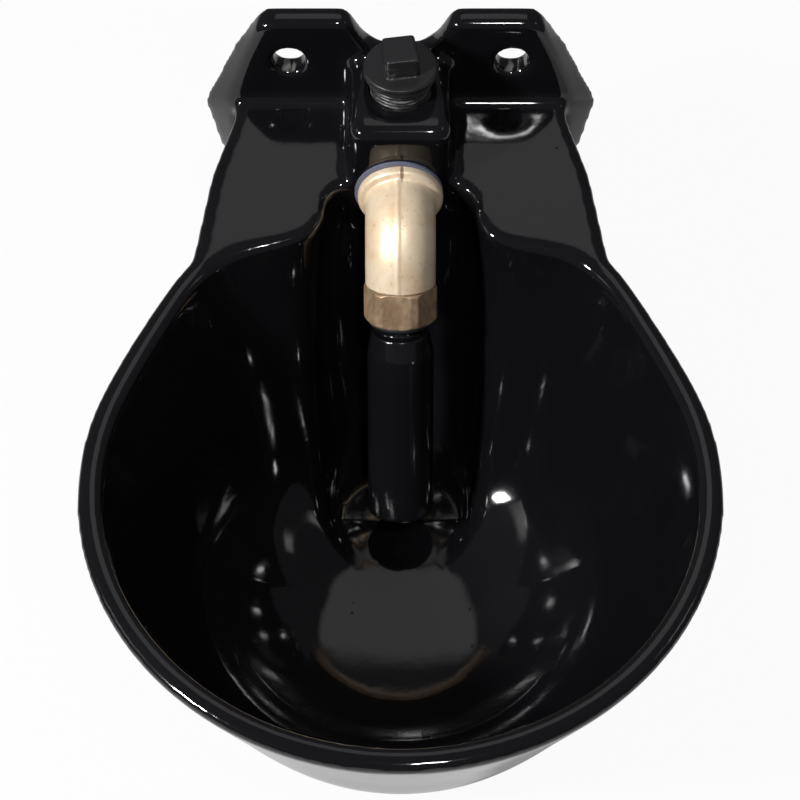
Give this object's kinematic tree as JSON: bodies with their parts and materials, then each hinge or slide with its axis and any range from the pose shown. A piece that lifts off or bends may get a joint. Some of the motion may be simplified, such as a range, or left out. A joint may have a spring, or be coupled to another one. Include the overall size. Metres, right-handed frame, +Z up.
{
  "type": "livestock drinking bowl",
  "caption": "Wall-hung cast bowl with a pear-shaped basin, a brass elbow valve and a hanging tube that an animal pushes aside to let water in.",
  "frame": {"origin": "midpoint between the two mounting holes, on the wall face", "axes": "+X to the right seen from the front, +Y back towards the wall, +Z up"},
  "size_m": [0.2546, 0.3273, 0.1929],
  "materials": {
    "enamelled_iron": "gloss black vitreous enamel",
    "black_plastic": "moulded, slightly scuffed",
    "gloss_black_plastic": "moulded, glossy",
    "black_rubber": "matt",
    "grey_gasket": "matt blue-grey fibre",
    "cast_brass": "nickel-toned cast brass, satin",
    "turned_brass": "dull turned brass",
    "stainless_steel": "plain"
  },
  "bodies": {
    "housing": {"bowl_casting": "enamelled_iron", "elbow_body": "cast_brass", "elbow_gasket": "grey_gasket", "outlet_nut": "turned_brass", "tube_ring": "black_rubber", "valve_seat": "turned_brass", "seat_o_ring": "black_rubber", "return_spring": "stainless_steel"},
    "plug_washer": {"plug_gasket": "black_rubber"},
    "plug": {"top_plug": "black_plastic"},
    "stem": {"valve_stem": "stainless_steel", "valve_head": "turned_brass", "valve_seal": "black_rubber", "stem_nut": "stainless_steel"},
    "pin": {"cross_pin": "stainless_steel"},
    "tube": {"drinking_tube": "gloss_black_plastic"}
  },
  "joints": [
    {"name": "plug_rise", "type": "slide", "parent": "housing", "child": "plug_washer", "axis": [0, 0, 1], "range_m": [-0.0079, 0.0044]},
    {"name": "plug_turn", "type": "hinge", "parent": "plug_washer", "child": "plug", "pos_m": [0, -0.0275, 0.02], "axis": [0, 0, 1], "range_deg": [-1565.8, 871.2]},
    {"name": "valve_lift", "type": "slide", "parent": "housing", "child": "stem", "axis": [0, 0.5, 0.866], "range_m": [0, 0.002], "stiffness_N_per_m": 900, "springref_m": -0.005, "deforming": ["return_spring"]},
    {"name": "pin_rock", "type": "hinge", "parent": "stem", "child": "pin", "pos_m": [0, -0.09745, -0.06628], "axis": [0, -0.866, 0.5], "range_deg": [-6, 6], "stiffness_Nm_per_rad": 2},
    {"name": "tube_swing", "type": "hinge", "parent": "pin", "child": "tube", "pos_m": [0, -0.09745, -0.06628], "axis": [1, 0, 0], "range_deg": [-6, 6], "stiffness_Nm_per_rad": 2}
  ],
  "couplings": [
    {"joint": "plug_rise", "follows": "plug_turn", "m_per_rad": 0.00028871}
  ]
}
